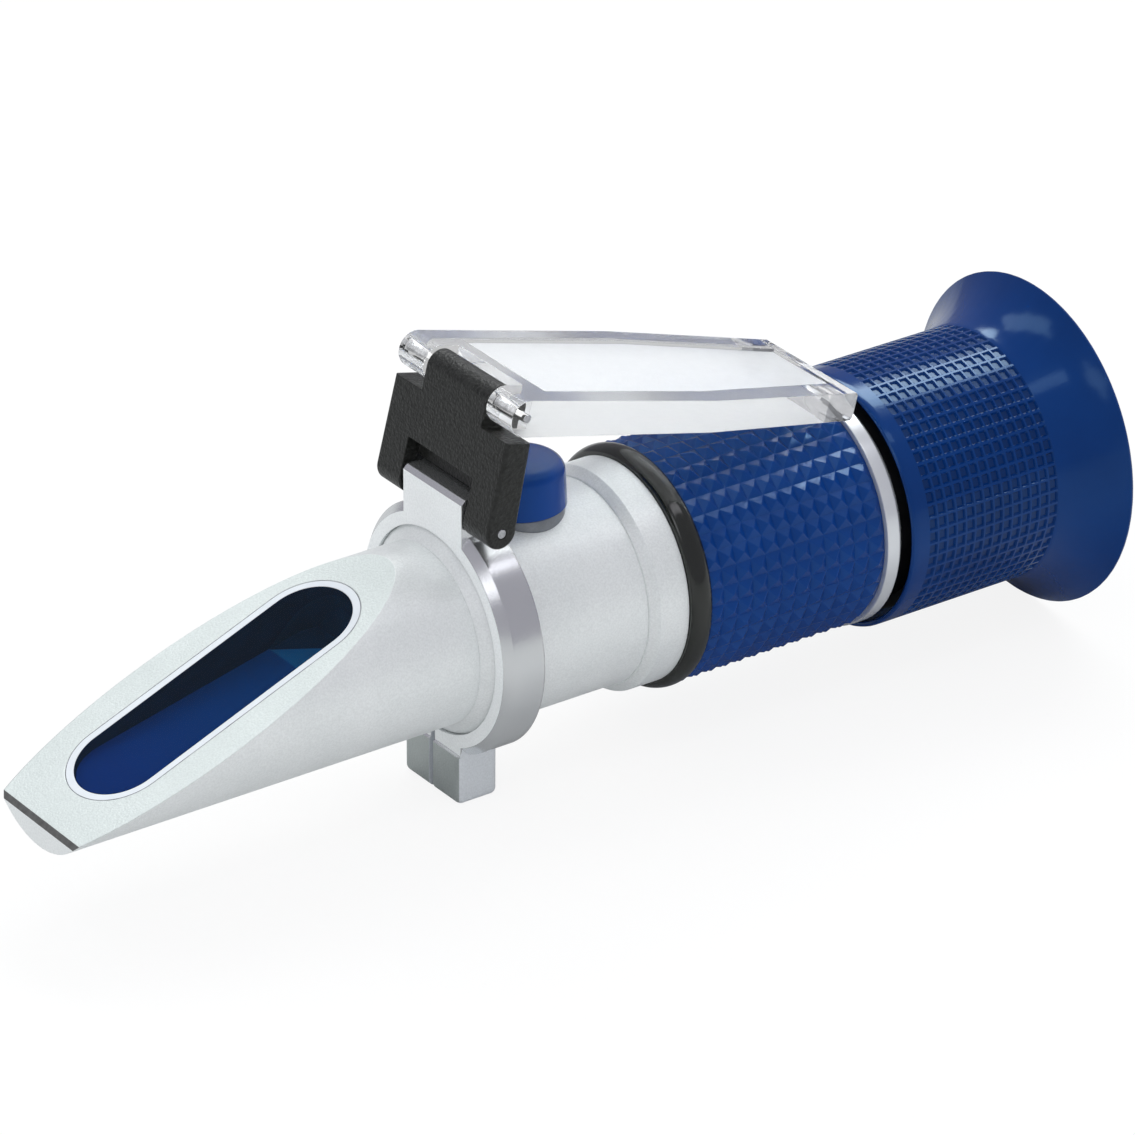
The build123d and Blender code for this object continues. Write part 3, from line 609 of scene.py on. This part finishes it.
SLOT_FINISH = {
    "satin_alloy": satin_metal(),
    "bright_alloy": bright_metal(),
    "dark_alloy": dark_metal(),
    "steel": steel(),
    "bimetal": bimetal(),
    "black_plastic": black_plastic(),
    "blue_rubber": blue_rubber(),
    "black_rubber": black_rubber(),
    "grey_seal": grey_seal(),
    "clear_acrylic": clear_acrylic(),
    "prism_glass": prism_glass(),
    "lens_glass": lens_glass(),
}
SLOT_OF = {part["node"]: part["material_slot"] for part in frame["record"]["subparts"]}
BODY_OF = {
    node: body for body, members in frame["record"]["behaviour"]["bodies"].items() for node in members
}


def finish_cad_nodes():
    for name, obj in nodes.items():
        obj.data.materials.clear()
        obj.data.materials.append(SLOT_FINISH[SLOT_OF[name]])


def dress(obj, node, material=None):
    """Give a piece the finish passed in, or else the finish of the record's slot for the CAD node that it
    stands for.
    """
    obj.data.materials.append(material or SLOT_FINISH[SLOT_OF[node]])
    return obj


# Pieces


def grip():
    """Rubber sleeve with rows of four-sided studs."""
    start, end = span("grip_sleeve")
    top = radius_of("grip_sleeve")
    base = top - STUD_HEIGHT
    bore = radius_of("rear_ring") - GRIP_SEAT
    pitch = (end - start - 2 * STUD_BORDER) / STUD_COLUMNS
    bm = bmesh.new()

    def ring(x, r, offset=0.0):
        angles = [2 * math.pi * (j + offset) / STUD_ROWS for j in range(STUD_ROWS)]
        return [bm.verts.new(about_optical_axis(x, r, angle)) for angle in angles]

    first = ring(start, base)
    rows = [ring(start + STUD_BORDER + i * pitch, base) for i in range(STUD_COLUMNS + 1)]
    tips = [ring(start + STUD_BORDER + (i + 0.5) * pitch, top, 0.5) for i in range(STUD_COLUMNS)]
    last = ring(end, base)
    bridge(bm, first, rows[0])
    for i in range(STUD_COLUMNS):
        a, b, tip = rows[i], rows[i + 1], tips[i]
        for j in range(STUD_ROWS):
            k = (j + 1) % STUD_ROWS
            for p, q in ((a[j], a[k]), (a[k], b[k]), (b[k], b[j]), (b[j], a[j])):
                bm.faces.new((p, q, tip[j]))
    bridge(bm, rows[-1], last)
    inner_end = ring(end, bore)
    inner_start = ring(start, bore)
    bridge(bm, last, inner_end)
    bridge(bm, inner_end, inner_start)
    bridge(bm, inner_start, first)
    bmesh.ops.recalc_face_normals(bm, faces=bm.faces)
    limit = math.radians(STUD_EDGE_DEGREES)
    studs = [e for e in bm.edges if e.calc_face_angle(0) > limit and e.is_convex]
    bmesh.ops.bevel(bm, geom=studs, offset=STUD_EDGE, segments=1, profile=0.5, affect="EDGES")
    dress(new_object("grip_studs", bm, "barrel", "grip_sleeve", sharp=5), "grip_sleeve")


def eyecup():
    """Rubber sleeve with a sunk waffle, a flared cup and a thin rim; the floors of the pits are painted a
    darker blue, as painted shade.
    """
    start, end = span("eyecup")
    rim = radius_of("eyecup")
    sleeve = EYECUP_RADIUS
    flare = end - FLARE_LENGTH
    floor = span("focus_sleeve")[1]
    bore = radius_of("focus_sleeve")
    setback = span("focus_sleeve")[0]
    mouth = radius_of("grip_sleeve") + MOUTH_GAP
    waffle_x = start + WAFFLE_START
    profile, sunk = [], []

    def add(x, r, w=0.0):
        profile.append((x, r))
        sunk.append(w)

    for k in range(MOUTH_STEPS + 1):
        turn = math.pi * k / MOUTH_STEPS
        add(
            start + MOUTH_ROUND * (1 - math.sin(turn)),
            (sleeve + mouth) / 2 - math.cos(turn) * (sleeve - mouth) / 2,
        )
    add(start + MOUTH_ROUND * 3, sleeve)
    for i in range(WAFFLE_COLUMNS):
        left = waffle_x + i * WAFFLE_PITCH
        for t, w in ((WAFFLE_RIB, 0), (WAFFLE_RIB + WAFFLE_SLOPE, 1), (1 - WAFFLE_SLOPE, 1), (1.0, 0)):
            add(left + t * WAFFLE_PITCH, sleeve, w)
    chord = Vector((end - RIM_ROUND - flare, rim - sleeve))
    bulge = chord.orthogonal().normalized() * -FLARE_SAGITTA
    if bulge.y > 0:
        bulge = -bulge
    for k in range(1, FLARE_STEPS + 1):
        t = k / FLARE_STEPS
        bend = 4 * t * (1 - t)
        add(flare + chord.x * t + bulge.x * bend, sleeve + chord.y * t + bulge.y * bend)
    for k in range(1, RIM_STEPS + 1):
        turn = math.pi * k / RIM_STEPS
        add(end - RIM_ROUND + RIM_ROUND * math.sin(turn), rim - RIM_ROUND + RIM_ROUND * math.cos(turn))
    cup = Vector((floor - end + RIM_ROUND, CUP_FLOOR_RADIUS - rim + 2 * RIM_ROUND))
    for k in range(1, CUP_STEPS + 1):
        t = k / CUP_STEPS
        bend = 4 * t * (1 - t)
        add(end - RIM_ROUND + cup.x * t, rim - 2 * RIM_ROUND + cup.y * t + CUP_SAGITTA * bend)
    for point in ((floor, bore), (setback, bore), (setback, mouth)):
        add(*point)

    steps = ((0.0, 0), (WAFFLE_RIB, 0), (WAFFLE_RIB + WAFFLE_SLOPE, 1), (1 - WAFFLE_SLOPE, 1))
    angles = [2 * math.pi * (row + share) / WAFFLE_ROWS for row in range(WAFFLE_ROWS) for share, _ in steps]

    def dents(i, j):
        return WAFFLE_DEPTH * sunk[i] * steps[j % len(steps)][1]

    obj = turned("eyecup_waffle", profile, "focus_sleeve", "eyecup", angles, dents, sharp=20)
    dark = blue_rubber("blue_rubber_dark", (0.001, 0.022, 0.125), (0.0015, 0.028, 0.150), sheen=(0.12, 0.19))
    dress(obj, "eyecup", dark)

    def pit(normal, centre):
        reach = math.hypot(centre.y, centre.z - AXIS_Z)
        return waffle_x < centre.x < flare and bore < reach < sleeve - WAFFLE_DEPTH * PIT_FLOOR_SHARE

    # Painted shade: the floors of the pits get a darker blue than the ribs, standing for the shade in the
    # pits.
    pit_shade_finish = blue_rubber("blue_rubber_pit_shade", (0.0007, 0.015, 0.092), (0.001, 0.019, 0.110))
    add_finish(obj, pit_shade_finish, pit)


def o_ring():
    """Black ring that swells a little over the grip's first edge."""
    start, end = span("grip_o_ring")
    section = (end - start) / 2
    centre = radius_of("grip_o_ring") - section
    half_width = section + O_RING_SWELL / 2
    profile = []
    for angle in even_angles(O_RING_POINTS):
        profile.append((start + half_width * (1 + math.cos(angle)), centre + section * math.sin(angle)))
    dress(turned("o_ring_round", profile, "barrel", "grip_o_ring"), "grip_o_ring")


def calibration_cap():
    """Blue cap: a tapered wall, a wide round shoulder and a slightly domed top."""
    low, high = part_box("calibration_cap")
    centre = (low + high) / 2
    wide = (high.x - low.x) / 2
    narrow = wide - CAP_TAPER
    bore = wide - CAP_WALL
    profile = [(low.z, bore), (low.z, wide - CAP_EDGE), (low.z + CAP_EDGE, wide)]
    for k in range(CAP_ROUND_STEPS + 1):
        turn = math.pi / 2 * k / CAP_ROUND_STEPS
        profile.append(
            (high.z - CAP_ROUND * (1 - math.sin(turn)), narrow - CAP_ROUND * (1 - math.cos(turn)))
        )
    inner = narrow - CAP_ROUND
    for k in range(1, CAP_DOME_RINGS + 1):
        r = inner * (1 - k / (CAP_DOME_RINGS + 0.5))
        profile.append((high.z + CAP_DOME * (1 - (r / inner) ** 2), r))
    profile += [(high.z - CAP_WALL, r), (high.z - CAP_WALL, bore)]

    def place(z, r, angle):
        return centre.x + r * math.cos(angle), centre.y + r * math.sin(angle), z

    body = BODY_OF["calibration_cap"]
    dress(
        turned("cap_domed", profile, body, "calibration_cap", even_angles(CAP_TURNS), sharp=40, place=place),
        "calibration_cap",
        blue_rubber("blue_cap", (0.0015, 0.032, 0.20), (0.002, 0.040, 0.235)),
    )


def rounded_nodes():
    """CAD nodes whose shape stays; some have their edges rounded over, by so many millimetres."""
    edges = {
        "hinge_arm": 0.22,
        "front_tube": 0,
        "main_tube": 0,
        "rear_ring": 0,
        "calibration_boss": 0,
        "arm_pin": 0.1,
        "plate_pin": 0.1,
    }
    # The boss under the cap gets painted shade.
    finishes = {"rear_ring": polished_rim(), "calibration_boss": shaded_metal()}
    for node, edge in edges.items():
        dress(dressed(node, BODY_OF[node], edge * MM, weighted=edge > 0), node, finishes.get(node))


def ear_block(low, high, radius):
    """Closed form that keeps all above the ears, and rounds the corners of the ears themselves."""
    middle_x, middle_y = (low.x + high.x) / 2, (low.y + high.y) / 2
    half_x = (high.x - low.x) / 2 + BLOCK_CLEARANCE
    half_y = (high.y - low.y) / 2 + BLOCK_CLEARANCE
    levels = []
    for k in range(EAR_STEPS + 1):
        turn = math.pi / 2 * k / EAR_STEPS
        z = low.z - BLOCK_CLEARANCE + radius * (1 - math.sin(turn))
        levels.append((z, radius * (1 - math.cos(turn))))
    bm = bmesh.new()

    def ring(z, inset, grow=0.0):
        reach = max(radius - inset, BLOCK_CORNER)
        out = []
        for corner, (sign_x, sign_y) in enumerate(((1, 1), (-1, 1), (-1, -1), (1, -1))):
            x = middle_x + sign_x * (half_x + grow - radius)
            y = middle_y + sign_y * (half_y + grow - radius)
            for k in range(EAR_STEPS + 1):
                angle = math.pi / 2 * (corner + k / EAR_STEPS)
                out.append(bm.verts.new((x + reach * math.cos(angle), y + reach * math.sin(angle), z)))
        return out

    rings = [ring(z, inset) for z, inset in reversed(levels)]
    rings.append(ring(high.z, 0))
    rings.append(ring(high.z, 0, BLOCK_MARGIN))
    rings.append(ring(high.z + BLOCK_HEIGHT, 0, BLOCK_MARGIN))
    for first, second in zip(rings, rings[1:]):
        bridge(bm, first, second)
    bm.faces.new(rings[0][::-1])
    bm.faces.new(rings[-1])
    bmesh.ops.recalc_face_normals(bm, faces=bm.faces)
    return linked_object("ear_block", bm)


def clamp():
    """Polished clamp ring with rounded ears; its front is satin, and its ears are satin painted lighter on
    their sides and darker on their fronts, as painted light and shade.
    """
    low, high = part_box("clamp_ring")
    ear_low = Vector((low.x, -EAR_HALF_WIDTH, low.z))
    ear_high = Vector((high.x, EAR_HALF_WIDTH, low.z + EAR_HEIGHT))
    block = ear_block(ear_low, ear_high, EAR_ROUND)
    bm = welded("clamp_ring")
    bmesh.ops.recalc_face_normals(bm, faces=bm.faces)
    rough = linked_object("clamp_rough", bm)
    cut = rough.modifiers.new("ears", "BOOLEAN")
    cut.operation = "INTERSECT"
    cut.solver = "EXACT"
    cut.object = block
    settled = settled_mesh(rough)
    bpy.data.objects.remove(rough)
    bpy.data.objects.remove(block)
    bm = bmesh.new()
    bm.from_mesh(settled)
    bpy.data.meshes.remove(settled)
    bmesh.ops.remove_doubles(bm, verts=bm.verts, dist=WELD)
    obj = new_object("clamp_ring_dressed", bm, BODY_OF["clamp_ring"], "clamp_ring", sharp=22)
    dress(obj, "clamp_ring")
    satin = satin_metal("clamp_satin", (0.87, 0.89, 0.89), (0.91, 0.93, 0.93), 0.25)
    add_finish(obj, satin, lambda normal, centre: normal.x < -FACING)
    # Painted light and shade: the ears' sides get a lighter copy of the satin, and their fronts a darker
    # copy.
    ear_side_light = satin_metal("ear_side_painted_light", (0.84, 0.87, 0.90), (0.88, 0.91, 0.94), 0.5)
    front = satin_metal("ear_front_painted_shade", (0.48, 0.52, 0.51), (0.54, 0.58, 0.57), 0.75)

    def on_ears(normal, centre):
        upright = abs(normal.z) < NEARLY_UPRIGHT and centre.z < ear_high.z + EAR_ROUND
        return upright or centre.z < AXIS_Z - CLAMP_RADIUS

    def on_ear_front(normal, centre):
        return normal.x < -FACING_EAR_FRONT and on_ears(normal, centre)

    add_finish(obj, ear_side_light, on_ears)
    add_finish(obj, front, on_ear_front)


def add_finish(obj, material, chosen):
    """Give the faces that the test picks a further material."""
    obj.data.materials.append(material)
    index = len(obj.data.materials) - 1
    for face in obj.data.polygons:
        if chosen(face.normal, face.center):
            face.material_index = index


def housing():
    """Nose of the instrument; its tip's chamfer is painted darker than the rest, as a painted reflection,
    and its sloping face gets a darker copy of the satin, as painted shade.
    """
    obj = dress(dressed("prism_housing", BODY_OF["prism_housing"], sharp=18), "prism_housing")
    tip = span("prism_housing")[0]
    half_way = (WINDOW_UP + Vector((-1, 0, 0))).normalized()
    slope_shade = satin_metal("slope_painted_shade", (0.715, 0.77, 0.75), (0.755, 0.81, 0.79))

    def on_chamfer(normal, centre):
        return normal.dot(half_way) > FACING_CHAMFER and centre.x < tip + DARK_CHAMFER_REACH

    # Painted shade: the sloping window face gets a darker, greener copy of the satin.
    add_finish(obj, slope_shade, lambda normal, centre: normal.dot(WINDOW_UP) > FACING_CLOSELY)
    # Painted reflection: the tip's chamfer is dark grey, as if it mirrored something dark.
    add_finish(obj, painted_dark_chamfer(), on_chamfer)


def seal():
    """Pale seal round the window, with a fine dark line where it meets the metal."""
    obj = dress(dressed("prism_seal", BODY_OF["prism_seal"], SEAL_EDGE), "prism_seal")
    window = middle("prism_seal")

    def outer_edge(normal, centre):
        upward = normal.dot(WINDOW_UP)
        across = normal - WINDOW_UP * upward
        return SEAL_EDGE_LEAST < upward < SEAL_EDGE_MOST and across.dot(centre - window) > 0

    add_finish(obj, seal_line(), outer_edge)


def prism():
    """Glass wedge: clear on top, painted dark on the faces that the housing covers."""
    bm = welded("measuring_prism")
    obj = new_object("prism_painted", bm, BODY_OF["measuring_prism"], "measuring_prism")
    dress(obj, "measuring_prism")

    def on_floor(normal, centre):
        return normal.z < -FACING

    def on_end(normal, centre):
        return normal.x > FACING_PRISM_END

    def on_wall(normal, centre):
        on_top = normal.dot(WINDOW_UP) >= FACING
        return not (on_top or normal.z <= -FACING or on_end(normal, centre))

    add_finish(obj, prism_floor(), on_floor)
    add_finish(obj, prism_end(), on_end)
    add_finish(obj, prism_wall(), on_wall)


def daylight_plate():
    """Clear plate, frosted in its recess and underneath, but for its free end."""
    obj = dressed("daylight_plate", BODY_OF["daylight_plate"], PLATE_EDGE)
    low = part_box("daylight_plate")[0]
    tilt = math.radians(PLATE_TILT)
    up = Vector((math.sin(tilt), 0, math.cos(tilt)))
    away = Vector((math.cos(tilt), 0, -math.sin(tilt)))
    bm = bmesh.new()
    bm.from_mesh(obj.data)
    top = max(up.dot(v.co) for v in bm.verts)
    end = max(away.dot(v.co) for v in bm.verts) - CLEAR_END
    whole = [*bm.faces, *bm.edges, *bm.verts]
    bmesh.ops.bisect_plane(bm, geom=whole, dist=CUT_WELD, plane_co=away * end, plane_no=away)
    bm.to_mesh(obj.data)
    bm.free()
    dress(obj, "daylight_plate")

    def frosted(normal, centre):
        recess = normal.dot(up) > FACING_CLOSELY and up.dot(centre) < top - RECESS_DEPTH / 2
        between_ends = centre.x > low.x + CLEAR_HINGE and away.dot(centre) < end
        return recess or (normal.dot(up) < -FACING_UNDER and between_ends)

    def beside_end(normal, centre):
        return abs(normal.y) > FACING and away.dot(centre) > end

    add_finish(obj, frosted_acrylic(), frosted)
    # Painted reflection: the sides of the clear end are tinted grey with streaks.
    add_finish(obj, end_painted_reflection(), beside_end)


# Stage


def maths(tree, operation, first, second):
    """A maths node on two values, the second of which may be a plain number."""
    made = tree.nodes.new("ShaderNodeMath")
    made.operation = operation
    tree.links.new(first, made.inputs[0])
    if isinstance(second, float):
        made.inputs[1].default_value = second
    else:
        tree.links.new(second, made.inputs[1])
    return made.outputs[0]


def mix_shaders(tree, factor, first, second):
    made = tree.nodes.new("ShaderNodeMixShader")
    tree.links.new(factor, made.inputs["Fac"])
    tree.links.new(first, made.inputs[1])
    tree.links.new(second, made.inputs[2])
    return made.outputs[0]


def camera_or_clear(tree):
    """1 for rays from the camera or through a clear piece, less for those mirrored inside one, else 0."""
    rays = tree.nodes.new("ShaderNodeLightPath").outputs
    straight = maths(tree, "MAXIMUM", rays["Is Camera Ray"], rays["Is Transmission Ray"])
    inside = maths(tree, "GREATER_THAN", rays["Transmission Depth"], 0.5)
    dimmed = maths(tree, "MULTIPLY", inside, MIRRORED_IN_CLEAR)
    return maths(tree, "MAXIMUM", straight, dimmed)


def stage():
    """Pale floor: white to the camera but for the shadow, and dimmer in reflections."""
    bpy.ops.mesh.primitive_plane_add(size=FLOOR_SIZE, location=(0, 0, 0))
    floor = bpy.context.object
    floor.name = "floor"
    paper = bpy.data.materials.new("paper")
    paper.use_nodes = True
    tree = paper.node_tree
    shader = tree.nodes["Principled BSDF"]
    shader.inputs["Base Color"].default_value = (0.86, 0.86, 0.86, 1)
    shader.inputs["Roughness"].default_value = 0.9
    glow = tree.nodes.new("ShaderNodeEmission")
    glow.inputs["Color"].default_value = (1, 1, 1, 1)
    glow.inputs["Strength"].default_value = 1.0
    dark = tree.nodes.new("ShaderNodeBsdfDiffuse")
    dark.inputs["Color"].default_value = (0.05, 0.05, 0.05, 1)

    glowing = maths(tree, "MULTIPLY", camera_or_clear(tree), FLOOR_GLOW)
    seen = mix_shaders(tree, glowing, shader.outputs[0], glow.outputs[0])
    mirrored = tree.nodes.new("ShaderNodeLightPath").outputs["Is Glossy Ray"]
    dimmed = maths(tree, "MULTIPLY", mirrored, FLOOR_DIMMED)
    surface = mix_shaders(tree, dimmed, seen, dark.outputs[0])
    tree.links.new(surface, tree.nodes["Material Output"].inputs["Surface"])
    floor.data.materials.append(paper)


def softbox(name, place, width, height, power, colour):
    """Oblong lamp that looks at the part."""
    data = bpy.data.lights.new(name, "AREA")
    data.shape = "RECTANGLE"
    data.size = width
    data.size_y = height
    data.energy = power
    data.color = colour
    lamp = bpy.data.objects.new(name, data)
    lamp.location = place
    lamp.rotation_euler = (Vector(LAMP_AIM) - Vector(place)).to_track_quat("-Z", "Y").to_euler()
    bpy.context.scene.collection.objects.link(lamp)


def lights():
    """Lamps and a pale room, white where the camera sees it and dimmer in reflections."""
    for lamp in LAMPS:
        softbox(*lamp)
    world = bpy.data.worlds.new("studio")
    bpy.context.scene.world = world
    world.use_nodes = True
    tree = world.node_tree

    def glow(colour, strength):
        made = tree.nodes.new("ShaderNodeBackground")
        made.inputs["Color"].default_value = (*colour, 1)
        made.inputs["Strength"].default_value = strength
        return made.outputs[0]

    mirrored = tree.nodes.new("ShaderNodeLightPath").outputs["Is Glossy Ray"]
    room = mix_shaders(tree, mirrored, glow(*ROOM), glow(*ROOM_MIRRORED))
    seen = mix_shaders(tree, camera_or_clear(tree), room, glow(*WHITE))
    tree.links.new(seen, tree.nodes["World Output"].inputs["Surface"])


def camera():
    data = bpy.data.cameras.new("camera")
    data.lens = CAMERA_LENS_MM
    data.sensor_width = CAMERA_SENSOR_MM
    data.clip_start = CAMERA_NEAR
    data.clip_end = CAMERA_FAR
    cam = bpy.data.objects.new("camera", data)
    back = -CAMERA_FORWARD.normalized()
    right = CAMERA_RIGHT.normalized()
    up = back.cross(right)
    cam.matrix_world = Matrix((right, up, back)).transposed().to_4x4()
    cam.location = CAMERA_PLACE
    bpy.context.scene.collection.objects.link(cam)
    bpy.context.scene.camera = cam


finish_cad_nodes()
rounded_nodes()
housing()
seal()
clamp()
calibration_cap()
prism()
daylight_plate()
grip()
eyecup()
o_ring()
stage()
lights()
camera()
bpy.context.scene.view_settings.view_transform = "Standard"
